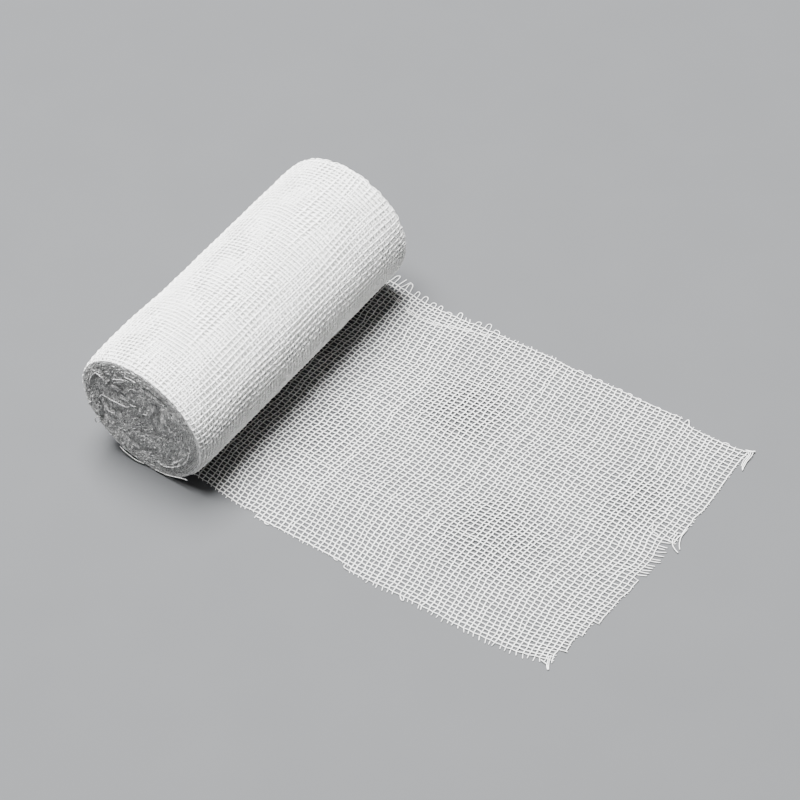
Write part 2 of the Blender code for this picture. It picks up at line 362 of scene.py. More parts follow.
def makeTurn(index):
    # One turn of the cloth: warps run round, picks along, each over and under the other by its crimp
    warps = cloth["warps"]
    pick = np.arange(math.ceil(turns["picksRound"] * index), math.ceil(turns["picksRound"] * (index + 1)) + 1)
    picks = len(pick)
    warp, pick = np.meshgrid(np.arange(warps), pick, indexing="ij")
    draw = np.random.default_rng(11 + index)
    warpShift = np.random.default_rng(5).normal(0, 0.10 * mm, warps)[:, None]
    near, far = roll["ends"][-1] + turns["selvedge"], roll["ends"][1] - turns["selvedge"]
    across = near + warp / (warps - 1) * (far - near)
    inside = smooth(np.minimum(across - near, far - across) / (4 * mm))
    arc = pick / turns["picksRound"] * roll["girth"]
    sideways = turns["drift"] * np.cos(math.pi * arc / roll["girth"])
    y = across + (warpShift + sideways + 0.25 * mm * softNoise(21, 18 * mm, across, arc)) * inside
    slip = draw.normal(0, 0.12 * mm, picks)[None, :] + 0.45 * mm * softNoise(22, 26 * mm, across * 0.6, arc)
    wander = wanderAlong(draw, 0.05 * mm, 2 * warps, picks).reshape(2, warps, picks)
    turn = 1 - (arc + slip) / roll["girth"]
    over = np.where((warp + pick) % 2 == 0, 1, -1)
    settle = turns["depth"] + 0.05 * mm * softNoise(23, 9 * mm, across, arc)
    warpPoints, normals = rollPoint(turn, y + wander[0], settle - over * turns["warpCrimp"])
    pickPoints, _ = rollPoint(turn + wander[1] / roll["girth"], y, settle + over * turns["pickCrimp"])
    sides, finish = (6, outerFinish) if index == 0 else (4, innerFinish)
    width = turns["threadWidth"]
    bundle = Bundle()
    bundle.add(warpPoints, normals, width * draw.uniform(0.86, 1.12, (warps, 1)),
               turns["threadHeight"], sides, draw.uniform(0, 1, warps))
    bundle.add(pickPoints.transpose(1, 0, 2), normals.transpose(1, 0, 2),
               width * draw.uniform(0.90, 1.22, (picks, 1)), turns["threadHeight"], sides,
               draw.uniform(0, 1, picks))
    return bundle, pickPoints, normals, finish, draw


def addRimLoops(bundle, start, finish, normals, side, draw):
    # A pick turns back into the next one past the last warp, out by length * (1 - |2s - 1|^2.5)
    count = len(start)
    s = np.linspace(0, 1, 7)[None, :, None]
    length = turns["rimLoop"][side] * draw.uniform(0.3, 1.5, (count, 1, 1))
    out = np.array([0.0, side, 0.0]) * length * (1 - np.abs(2 * s - 1) ** 2.5)
    lean = draw.normal(0, 0.12 * mm, (count, 1, 1)) * normals[:, None] * np.sin(math.pi * s)
    points = start[:, None] * (1 - smooth(s)) + finish[:, None] * smooth(s) + out + lean
    points[..., 2] = np.maximum(points[..., 2], 0.2 * mm)
    bundle.add(points, np.broadcast_to(normals[:, None], points.shape), turns["rimWidth"],
               turns["rimHeight"], 4, draw.uniform(0.3, 1, count))


def addRimWraps(bundle, side, draw):
    # Warps of the turns below, side by side at the rim, each further in from the end, all about as deep
    count, rings = turns["rimWraps"], turns["wrapRings"]
    first, spread = turns["wrapIn"]
    place = (np.arange(count) + 0.5)[:, None] / count
    turn = np.linspace(0.002, 0.998, rings)[None, :]
    arc = turn * roll["girth"]
    away = (first + spread * place) * mm + 0.20 * mm * softNoise(27, 4 * mm, arc, 60 * mm * place)
    down = turns["wrapDown"] + 0.14 * mm * softNoise(28, 3 * mm, arc, 60 * mm * place)
    points, normals = rollPoint(turn + 0 * place, roll["ends"][side] - side * away, down)
    bundle.add(points, normals, turns["rimWidth"], turns["rimHeight"], 4, draw.uniform(0, 1, (count, rings)))


def makeTurns():
    # The outer turn also has the weft loops and bare edges that show at the rims
    for index in range(turns["shown"]):
        bundle, pickPoints, normals, finish, draw = makeTurn(index)
        if index == 0:
            for side, edge, step in ((-1, 0, 2), (1, -1, 1)):
                pair = np.arange(0, pickPoints.shape[1] - 1, step)
                addRimLoops(bundle, pickPoints[edge, pair], pickPoints[edge, pair + 1],
                            normals[edge, pair], side, draw)
                addRimWraps(bundle, side, draw)
        bundle.make(f"turn{index + 1}", finish, "rolled_gauze")


face = {
    "rim": {-1: 22.4 * mm, 1: 23.0 * mm},
    "seed": {-1: 40, 1: 50},
    "lumpTurn": {-1: 0.0, 1: 0.31},
    "eyePush": {-1: 1, 1: -0.4},
    "creaseShare": 0.85,           # of the heights listed for the folds
    "ridgeShare": 0.40,
    "crumple": 0.06 * mm,
    "eye": (-0.26, 0.14),          # the spiral's middle, pushed aside, in shares of the rim's radius
    "lumps": (                     # share of the radius, turn, reach as a share, height
        (0.58, 0.10, 0.34, 0.2), (0.42, 0.36, 0.28, -0.2), (0.66, 0.52, 0.26, 0.2),
        (0.55, 0.74, 0.32, -0.2), (0.12, 0.62, 0.24, 0.2), (0.74, 0.90, 0.22, -0.1),
    ),
    "dish": 0.4 * mm,
    "rimRound": 0.3 * mm,
    "bandTurn": math.radians(48),  # the smooth band at the rim is widest here
    "bandWidth": 0.17,             # share of the radius
}

nearFolds = (                      # height, width and line of each fold, x and z from the face's middle
    (-1.7, 0.7, ((-14.8, 2.8), (-14.4, 0.8), (-13.4, -1.1), (-11.0, -1.7), (-8.9, -1.1))),
    (0.9, 0.8, ((-16.6, 1.3), (-15.2, 3.4), (-13.4, 4.3), (-11.4, 3.9), (-9.0, 3.7), (-6.5, 3.6),
                (-4.8, 3.6))),
    (0.8, 0.7, ((-14.0, -1.6), (-13.1, -2.7), (-11.3, -2.8), (-9.5, -2.4))),
    (-1.8, 0.6, ((-5.4, 2.3), (-2.7, 4.6), (0.1, 6.1))),
    (-1.6, 0.7, ((-18.1, 12.9), (-15.4, 14.9), (-12.7, 15.9), (-11.3, 14.1), (-10.4, 12.5))),
    (1.1, 0.7, ((-18.8, 6.1), (-18.4, 8.6), (-16.7, 11.7), (-14.8, 13.6), (-13.0, 13.1), (-12.0, 11.6),
                (-12.1, 9.9))),
    (-1.2, 0.6, ((-16.7, 8.9), (-15.6, 11.4), (-14.0, 12.6), (-12.9, 11.5))),
    (1.0, 0.8, ((-12.1, 16.2), (-11.0, 15.4), (-9.8, 15.1))),
    (-1.4, 0.6, ((-11.4, 10.3), (-8.1, 11.5), (-5.8, 11.1))),
    (-1.3, 0.6, ((-9.0, 7.8), (-6.8, 8.7), (-6.0, 7.8))),
    (-1.0, 0.6, ((-5.5, 17.0), (-0.9, 17.6), (2.9, 17.0), (7.1, 16.1), (10.5, 14.6), (13.5, 11.8))),
    (-1.5, 0.7, ((-16.2, 4.8), (-15.8, 2.9), (-16.9, -0.6), (-16.2, -3.0), (-16.3, -5.9), (-18.3, -9.4))),
    (1.0, 0.8, ((-19.1, 1.0), (-18.6, -1.6), (-17.6, -3.8), (-17.9, -6.3))),
    (-1.8, 0.55, ((-0.8, -5.0), (0.8, -5.0))),
    (-1.1, 0.6, ((3.4, -4.1), (6.7, -2.9), (9.7, -2.6))),
    (-1.6, 0.5, ((10.2, -9.5), (10.8, -10.5), (11.6, -11.9))),
    (-1.4, 0.5, ((11.9, -12.6), (13.5, -12.1))),
    (-1.0, 0.6, ((-0.4, 1.2), (1.1, 3.2), (3.8, 4.2), (5.8, 6.7), (8.6, 8.6))),
    (0.7, 0.6, ((-0.4, 2.2), (1.1, 4.4), (3.8, 5.4), (5.8, 7.9))),
    (-0.8, 0.8, ((8.5, 11.1), (8.3, 7.7), (7.0, 3.6), (9.2, 2.7))),
    (1.1, 2.4, ((-5.6, -7.5), (-1.4, -9.0), (2.7, -9.5), (5.5, -10.0))),
    (-0.8, 0.7, ((-5.3, -16.6), (-0.7, -13.9), (4.0, -10.8))),
    (0.6, 0.5, ((9.8, -14.6), (13.2, -12.2), (16.6, -7.7), (18.4, -3.2))),
    (0.5, 0.5, ((9.6, -13.0), (11.9, -11.3), (15.1, -7.4))),
    (-0.7, 0.5, ((9.9, -15.8), (13.9, -12.9), (17.8, -7.8), (19.6, -3.0))),
    (-0.7, 0.7, ((-12.0, -6.0), (-9.0, -11.0), (-3.0, -13.5))),
)
farFolds = (
    (-1.3, 0.8, ((-9.0, 5.0), (-5.0, 8.5), (1.0, 8.0), (4.5, 4.0))),
    (0.9, 1.0, ((-6.0, 2.5), (-2.0, 5.0), (2.5, 2.0), (1.0, -2.0))),
    (-1.2, 0.7, ((5.5, 0.5), (4.0, -5.0), (-1.0, -6.5), (-6.0, -4.0))),
    (-1.0, 0.6, ((-14.0, 0.0), (-12.5, -7.0), (-7.0, -12.0))),
    (-1.1, 0.6, ((9.0, 11.0), (12.5, 6.5), (13.0, 1.0))),
    (0.8, 1.4, ((8.0, -8.0), (3.0, -11.5), (-4.0, -12.0))),
)


def foldHeight(x, z, folds):
    # each fold adds height * exp(-(distance to its line / width)^2)
    total = np.zeros(np.broadcast(x, z).shape)
    for height, width, line in folds:
        points = splineThrough(line, 22) * mm
        away = (x[..., None] - points[:, 0]) ** 2 + (z[..., None] - points[:, 1]) ** 2
        total += height * mm * np.exp(-away.min(-1) / (width * mm) ** 2)
    return total


def bandCalm(share, angle):
    # 0 on the smooth band at the rim, 1 inside it
    # the band is bandWidth * (0.25 + 0.75 * cos^2 of half the turn from its widest place)
    wide = face["bandWidth"] * (0.25 + 0.75 * np.cos((angle - face["bandTurn"]) / 2) ** 2)
    return smooth((1 - share - 0.55 * wide) / (0.6 * wide))


def faceRelief(x, z, side):
    # lumps + folds + small crumples, calm on the rim's band, less the dish and the rounding at the rim
    seed, turned = face["seed"][side], face["lumpTurn"][side]
    u, v = x / face["rim"][side], z / face["rim"][side]
    share = np.hypot(u, v)
    relief = 0
    for place, turn, reach, height in face["lumps"]:
        angle = math.tau * (turn + turned)
        away = np.hypot(u - place * math.cos(angle), v - place * math.sin(angle)) / reach
        relief = relief + height * mm / 2 * (1 + np.cos(math.pi * np.minimum(away, 1)))
    crumple = (face["crumple"] * softNoise(seed, 0.16, u, v)
               + face["crumple"] * softNoise(seed + 1, 0.06, u, v))
    fold = foldHeight(x, z, nearFolds if side < 0 else farFolds)
    folded = np.where(fold < 0, face["creaseShare"], face["ridgeShare"]) * fold + crumple
    relief = relief * (1 - share ** 6) + folded * bandCalm(share, np.arctan2(v, u))
    return relief - face["dish"] * (1 - share) ** 2 - face["rimRound"] * smooth((share - 0.90) / 0.10) ** 2


def facePoint(share, angle, side, outward):
    # Round the pushed-aside eye: share * (cos, sin) + eye * (1 - share^2), crumpled sideways inside the rim
    seed, push = face["seed"][side], face["eyePush"][side]
    u = share * np.cos(angle) + face["eye"][0] * push * (1 - share ** 2)
    v = share * np.sin(angle) + face["eye"][1] * push * (1 - share ** 2)
    calm = smooth((1 - share) / 0.3)
    u, v = (u + 0.07 * softNoise(seed + 5, 0.7, u, v) * calm,
            v + 0.07 * softNoise(seed + 6, 0.7, u, v) * calm)
    x, z = u * face["rim"][side], v * face["rim"][side]
    slackShare = rollSlack(np.arctan2(v, u), roll["ends"][side]) / face["rim"][side] * share ** 3
    y = middleY + roll["ends"][side] + side * (faceRelief(x, z, side) + outward)
    x, z = x * (1 + slackShare), z * (1 + slackShare)
    height = rollCentre(roll["ends"][side]) + z * (1 - roll["sag"])
    x = axisX + x * (1 + roll["sag"])
    return np.stack(np.broadcast_arrays(x, y, np.maximum(height, 0.3 * mm)), axis=-1)


body = {
    "inward": 0.95 * mm,
    "around": 200,
    "along": 60,
    "faceRings": 56,
    "recess": 0.35 * mm,
}


def makeBody():
    # Rings from the near face's middle to its rim, along the body, and in from the far rim to its middle
    angle = np.linspace(0, math.tau, body["around"], endpoint=False)[None, :]
    share = np.linspace(0, 0.985, body["faceRings"] + 1)[1:, None]
    y = np.linspace(roll["ends"][-1] + 1.2 * mm, roll["ends"][1] - 1.2 * mm, body["along"])[:, None]
    side, _ = rollPoint((angle + math.pi / 2) / math.tau % 1.0, y, body["inward"])
    nearFace = facePoint(share, angle, -1, -body["recess"])
    farFace = facePoint(share, angle, 1, -body["recess"])[::-1]
    rings = np.concatenate([nearFace, side, farFace])
    count, around = rings.shape[:2]
    corner = np.arange(count * around).reshape(count, around)
    after = np.roll(corner, -1, axis=1)
    walls = np.stack([corner[:-1], after[:-1], after[1:], corner[1:]], axis=-1).reshape(-1, 4)
    points = np.vstack([rings.reshape(-1, 3), nearFace[0].mean(0), farFace[-1].mean(0)])
    poles = np.full(around, count * around)
    nearFan = np.stack([poles, after[0], corner[0]], axis=-1)
    farFan = np.stack([poles + 1, corner[-1], after[-1]], axis=-1)
    mesh = bpy.data.meshes.new("woundBody")
    mesh.from_pydata(points.tolist(), [], walls.tolist() + nearFan.tolist() + farFan.tolist())
    piece = addPiece("woundBody", mesh, packedFinish)
    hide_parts("roll")


edges = {
    "innerRadius": 1.0 * mm,
    "threadWidth": 0.34 * mm,
    "loopWidth": 0.24 * mm,
    "loopHeight": 0.42 * mm,
    "unevenness": 0.11 * mm,
}


def makeLayerEdges(name, side, seed, step, loopSpacing):
    # The cloth's edge wound as a spiral, radius^2 = inner^2 + layer * length / pi, with small weft loops
    draw = np.random.default_rng(seed)
    outer = face["rim"][side] - 0.1 * mm
    layer = roll["layerPitch"]
    inner = edges["innerRadius"]
    length = math.pi * (outer ** 2 - inner ** 2) / layer

    def spiralPlace(travelled):
        radius = np.sqrt(inner ** 2 + layer * travelled / math.pi)
        return radius, math.tau * (radius - inner) / layer

    def spiral(travelled, outward, inward=0.0):
        radius, angle = spiralPlace(travelled)
        return facePoint(np.clip((radius - inward) / outer, 0, 1), angle, side, outward)

    def looseness(travelled):
        # 0.45 on the rim's smooth band, 1 inside it
        radius, angle = spiralPlace(travelled)
        return 0.45 + 0.55 * bandCalm(radius / outer, angle)

    bundle = Bundle()
    travelled = np.arange(0, length, step)[None, :]
    outwards = np.array([0.0, side, 0.0])
    uneven = edges["unevenness"] * draw.normal(size=(2, 1, travelled.shape[1])) * looseness(travelled)
    bundle.add(spiral(travelled, uneven[0], 0.8 * uneven[1]), outwards,
               edges["threadWidth"], edges["threadWidth"], 3, draw.uniform(0, 1, travelled.shape))

    last = length - 3 * mm
    starts = np.arange(0, last, loopSpacing)
    starts = np.clip(starts + draw.uniform(-0.4, 0.4, starts.shape) * loopSpacing, 0, last)[:, None]
    s = np.linspace(0, 1, 6)[None, :]
    height = edges["loopHeight"] * draw.uniform(0.15, 1.3, starts.shape) * looseness(starts) ** 1.4
    span = draw.uniform(0.4, 1.2, starts.shape) * mm
    points = spiral(starts + s * span, height * (1 - np.abs(2 * s - 1) ** 2) - 0.1 * mm)
    lean = draw.normal(0, 0.4 * mm, (len(starts), 1, 3)) * np.sin(math.pi * s)[..., None]
    lean[..., 1] = 0
    points = points + lean * looseness(starts)[..., None]
    points[..., 2] = np.maximum(points[..., 2], 0.2 * mm)
    bundle.add(points, unit(draw.normal(size=(len(starts), 1, 3))), edges["loopWidth"], edges["loopWidth"], 3,
               draw.uniform(0, 1, len(starts)))
    bundle.make(name, edgeFinish, "rolled_gauze")


faceThreads = {
    "width": 0.28 * mm,
    "height": 0.26 * mm,
    "rimWidth": 0.32 * mm,
    "rimHeight": 0.30 * mm,
    "lines": (                     # lift off the face; x and z from the near face's middle
        (0.5, ((-17.1, -0.7), (-16.6, 1.3), (-15.2, 3.4), (-13.4, 4.3), (-11.4, 3.9), (-9.0, 3.7),
               (-6.5, 3.6),
               (-4.8, 3.6), (-2.5, 5.2))),
        (1.1, ((-2.8, 6.5), (-1.0, 6.1), (1.1, 5.6))),
        (0.6, ((-8.3, 14.2), (-5.2, 15.8), (-3.3, 16.4))),
        (0.6, ((-3.2, 18.0), (-0.7, 18.4), (1.6, 18.3))),
        (0.6, ((-2.8, 16.7), (-0.5, 17.1), (1.1, 17.6))),
        (0.5, ((-8.5, 12.4), (-6.2, 13.9), (-3.7, 15.6))),
        (0.5, ((-2.6, 12.2), (-1.2, 13.7), (0.8, 14.2))),
        (0.5, ((-18.8, 6.1), (-18.4, 8.6), (-16.7, 11.7), (-14.8, 13.6), (-13.0, 13.1), (-12.0, 11.6))),
        (0.5, ((-14.0, -1.3), (-13.1, -2.4), (-11.3, -2.5))),
        (0.5, ((-19.1, 1.0), (-18.6, -1.6), (-17.6, -3.8), (-17.9, -6.3))),
        (0.5, ((-0.4, 1.6), (1.1, 3.8), (3.8, 4.8), (5.8, 7.3))),
        (0.4, ((9.8, -14.6), (13.2, -12.2), (16.6, -7.7), (18.4, -3.2))),
        (0.4, ((9.6, -13.0), (11.9, -11.3), (15.1, -7.4))),
        (0.4, ((2.9, -16.4), (5.9, -16.7), (9.7, -15.2))),
        (0.4, ((-5.3, -17.3), (-0.7, -14.5), (4.0, -11.2))),
    ),
    "rimLines": (                  # loops and ends past the rim: x, out of the face, z from its middle
        ((-18.6, 0.2, -9.6), (-18.8, 0.4, -8.5), (-19.8, 0.6, -8.8), (-20.7, 0.7, -10.4), (-20.7, 0.6, -11.7),
         (-19.8, 0.4, -11.8), (-18.8, 0.2, -10.5)),
        ((-20.8, 0.2, -2.9), (-21.9, 0.3, -3.9), (-22.2, 0.3, -4.9), (-21.6, 0.2, -5.3)),
        ((-12.8, 0.2, -18.8), (-11.4, 0.4, -19.6), (-8.7, 0.5, -20.6), (-6.2, 0.5, -21.2),
         (-3.6, 0.3, -21.3)),
        ((0.9, 0.2, -21.5), (5.0, 0.4, -20.9), (8.2, 0.5, -19.9), (12.0, 0.6, -18.3), (15.0, 0.7, -17.5)),
    ),
}


def makeFaceThreads():
    # Threads that lie on the near face's folds, and the loops at its rim
    bundle = Bundle()
    centre = rollCentre(roll["ends"][-1])
    outwards = np.array([0.0, -1.0, 0.0])
    for lift, line in faceThreads["lines"]:
        x, z = (splineThrough(line, 26) * mm).T
        y = roll["ends"][-1] - faceRelief(x, z, -1) - lift * mm
        points = np.stack([axisX + x, middleY + y, centre + z], axis=-1)
        bundle.add(points, outwards, faceThreads["width"], faceThreads["height"], 6, [1.0])
    for line in faceThreads["rimLines"]:
        x, out, z = (splineThrough(line, 24) * mm).T
        height = np.maximum(centre + z, 0.25 * mm)
        points = np.stack([axisX + x, middleY + roll["ends"][-1] - out, height], axis=-1)
        bundle.add(points, outwards, faceThreads["rimWidth"], faceThreads["rimHeight"], 6, [0.7])
    bundle.make("faceThreads", edgeFinish, "loose_threads")


looseEnd = {
    "firstPick": -5,
    "lastPick": 77,
    "nearStarts": {0: 34, 1: 14},  # first picks of the two outermost warps of the near side
    "farStop": 64,                 # last pick of the outermost warp of the far side
    "freeEnd": ((-42.0, 73), (-35.4, 74), (-28.8, 75), (-8.3, 76), (7.4, 75)),  # below this y, last pick
    "notch": (-8.3, 7.4),          # y of its two sides
    "pickZero": 13.19 * mm,
    "warpZero": -50.5 * mm,
    "warpWidth": 0.34 * mm,
    "pickWidth": 0.38 * mm,
    "threadHeight": 0.37 * mm,
    "crimp": 0.14 * mm,
    "bow": (                       # y, shift along x that all the picks share
        (-54, 1.4), (-50, 1.1), (-45, 0.6), (-40, -0.1), (-34, -0.9), (-28, -1.2), (-20, -1.1), (-12, -0.4),
        (-4, 0.0), (4, -0.4), (12, -0.35), (20, 0.0), (27, 0.35), (34, -0.1), (40, -0.6), (46, -1.0),
        (54, -1.6),
    ),
    "nearPull": (                  # x, shift across that the near side's warps share
        (0, 1.9), (14, 1.8), (18, 1.3), (22, 0.5), (26, -0.1), (30, -0.6), (36, -0.4), (42, -0.6),
        (50, -0.46), (66, -0.46), (76, -0.75), (86, -0.4), (92, -0.15), (98, 0), (116, 0), (122, 0.3),
        (128, 0.6), (134, 1.2), (138, 2.2), (142, 3.3), (146, 4.3), (154, 5.4),
    ),
    "farPull": (                   # x, shift across of the far side's warps
        (0, 1.8), (14, 1.7), (18, 1.45), (22, 0.8), (26, 0.2), (30, -0.4), (36, -0.8), (42, -0.7),
        (50, -0.35), (58, 0), (66, 0.1), (78, 0.4), (90, 0), (104, 0), (116, -0.2), (124, -0.1), (128, 0.1),
        (134, -0.6), (138, -0.9), (146, -0.9), (149, -0.6), (154, 0.4),
    ),
    "pullReach": 14 * mm,
    "snags": (                     # x, y, reach, shift along x and y at the snag's middle
        (143, -3, 6.5, 1.1, 0.0),
        (146, -9, 4.0, -0.5, 0.7),
        (149, 49, 4.5, 0.9, 0.0),
        (126, 30, 9.0, 0.3, 0.4),
        (70, -20, 12.0, -0.2, 0.4),
        (47, 18, 14.0, 0.3, 0.3),
    ),
    "openings": (                  # x, y, reach, how far the threads are pushed away
        (145.3, 8.8, 1.6, 0.55),
        (143.2, 9.2, 1.2, 0.35),
        (88, 24, 2.0, 0.3),
    ),
    "swells": (                    # centre x and y, reach along and across, height
        (34, -12, 16, 26, 0.25),
        (68, 20, 22, 22, 0.3),
        (104, -18, 26, 24, 0.3),
        (132, 16, 14, 22, 0.2),
    ),
}


def clothLift(x, y):
    # raised cosine swells, height/2 * (1 + cos(pi * distance in reaches)), that die out at the side edges
    height = 0
    for centreX, centreY, reachX, reachY, tall in looseEnd["swells"]:
        away = np.hypot((x - centreX * mm) / (reachX * mm), (y - centreY * mm) / (reachY * mm))
        height = height + tall * mm / 2 * (1 + np.cos(math.pi * np.minimum(away, 1)))
    return height * np.clip(1 - ((y - 0.7 * mm) / (50 * mm)) ** 4, 0, 1)


def clothPlace(warp, pick):
    # Straight grid, plus bow, snags, openings, soft waves, and pulls that fade as exp(-distance in / reach)
    x = looseEnd["pickZero"] + pick * cloth["pickPitch"]
    y = looseEnd["warpZero"] + warp * cloth["warpPitch"]
    reach = looseEnd["pullReach"]
    nearWay = np.exp(-warp * cloth["warpPitch"] / reach)
    farWay = np.exp(-(cloth["warps"] - 1 - warp) * cloth["warpPitch"] / reach)
    pulled = y + curved(looseEnd["nearPull"], x) * nearWay + curved(looseEnd["farPull"], x) * farWay
    inside = 1 - 0.7 * np.maximum(nearWay, farWay)
    waves = 0.32 * mm * softNoise(61, 34 * mm, x, y) + 0.10 * mm * softNoise(62, 12 * mm, x, y)
    pulled = pulled + inside * waves
    bowed = x + curved(looseEnd["bow"], pulled) * smooth((x + 4 * mm) / (20 * mm))
    bowed = bowed + 0.38 * mm * softNoise(63, 46 * mm, x, y) + 0.14 * mm * softNoise(64, 11 * mm, x, y)
    x, y = bowed, pulled
    for snagX, snagY, snagReach, alongX, acrossY in looseEnd["snags"]:
        near = np.exp(-((x - snagX * mm) ** 2 + (y - snagY * mm) ** 2) / (snagReach * mm) ** 2)
        x, y = x + alongX * mm * near, y + acrossY * mm * near
    for holeX, holeY, holeReach, push in looseEnd["openings"]:
        dx, dy = x - holeX * mm, y - holeY * mm
        away = np.hypot(dx, dy) + 1e-6
        shove = push * mm * np.exp(-(away / (holeReach * mm)) ** 2)
        x, y = x + dx / away * shove, y + dy / away * shove
    return x, y


def weaveLooseEnd():
    # Crossing points of every warp and pick, and the two threads' own paths over and under them
    draw = np.random.default_rng(7)
    picks = looseEnd["lastPick"] - looseEnd["firstPick"] + 1
    warps = cloth["warps"]
    pick = np.arange(picks) + looseEnd["firstPick"]
    warp, pick = np.meshgrid(np.arange(warps), pick, indexing="ij")
    x, y = clothPlace(warp, pick)
    x = x + draw.normal(0, 0.12 * mm, picks)[None, :]
    y = y + draw.normal(0, 0.07 * mm, warps)[:, None]
    warpY = y + wanderAlong(draw, 0.08 * mm, warps, picks)
    pickX = x + wanderAlong(draw, 0.19 * mm, picks, warps).T
    middle = clothLift(x, y) + looseEnd["threadHeight"] / 2 + looseEnd["crimp"]
    over = np.where((warp + pick) % 2 == 0, 1, -1) * looseEnd["crimp"]
    warpPath = np.stack([axisX + x, middleY + warpY, middle + over], axis=-1)
    pickPath = np.stack([axisX + pickX, middleY + y, middle - over], axis=-1)
    return warpPath, pickPath, x, y


def warpSpan(warp, y):
    # first and last pick of a warp: short warps at both sides, and the ragged free end
    first = looseEnd["nearStarts"].get(warp, looseEnd["firstPick"])
    if warp == cloth["warps"] - 1:
        return first, looseEnd["farStop"]
    for limit, last in looseEnd["freeEnd"]:
        if y < limit:
            return first, last
    return first, looseEnd["lastPick"]


def pickSpans(pick, count, y):
    # runs of warps that a pick crosses
    crossed = [warpSpan(warp, y[warp])[0] <= pick <= warpSpan(warp, y[warp])[1] for warp in range(count)]
    edgesOf = np.flatnonzero(np.diff([False, *crossed, False]))
    return [(start, stop) for start, stop in zip(edgesOf[::2], edgesOf[1::2]) if stop - start > 2]


def makeLooseEnd(warpPath, pickPath, y):
    # Threads with the same span go in together
    draw = np.random.default_rng(8)
    warps, picks = warpPath.shape[:2]
    offset = looseEnd["firstPick"]
    rowY = y[:, -3] / mm
    up = np.array([0.0, 0.0, 1.0])
    bundle = Bundle()

    def weave(paths, widths, dullest):
        bundle.add(paths, up, widths, looseEnd["threadHeight"], 6, draw.uniform(dullest, 1, len(paths)))

    warpWidths = (looseEnd["warpWidth"] * draw.uniform(0.85, 1.12, (warps, 1))
                  * draw.uniform(0.92, 1.08, (warps, picks)))
    pickWidths = (looseEnd["pickWidth"] * draw.uniform(0.85, 1.15, (picks, 1))
                  * draw.uniform(0.92, 1.08, (picks, warps)))
    spans = [warpSpan(warp, rowY[warp]) for warp in range(warps)]
    for span in sorted(set(spans)):
        rows = [warp for warp in range(warps) if spans[warp] == span]
        start, stop = span[0] - offset, span[1] - offset + 1
        weave(warpPath[rows, start:stop], warpWidths[rows, start:stop], 0.0)
    runs = {}
    for pick in range(picks):
        for run in pickSpans(pick + offset, warps, rowY):
            runs.setdefault(run, []).append(pick)
    for (start, stop), rows in runs.items():
        weave(pickPath[start:stop, rows].transpose(1, 0, 2), pickWidths[rows, start:stop], 0.4)
    piece = bundle.make("looseEnd", looseFinish, "open_gauze")
    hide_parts("tail", "fringe_far", "fringe_near", "fringe_end")
    return piece


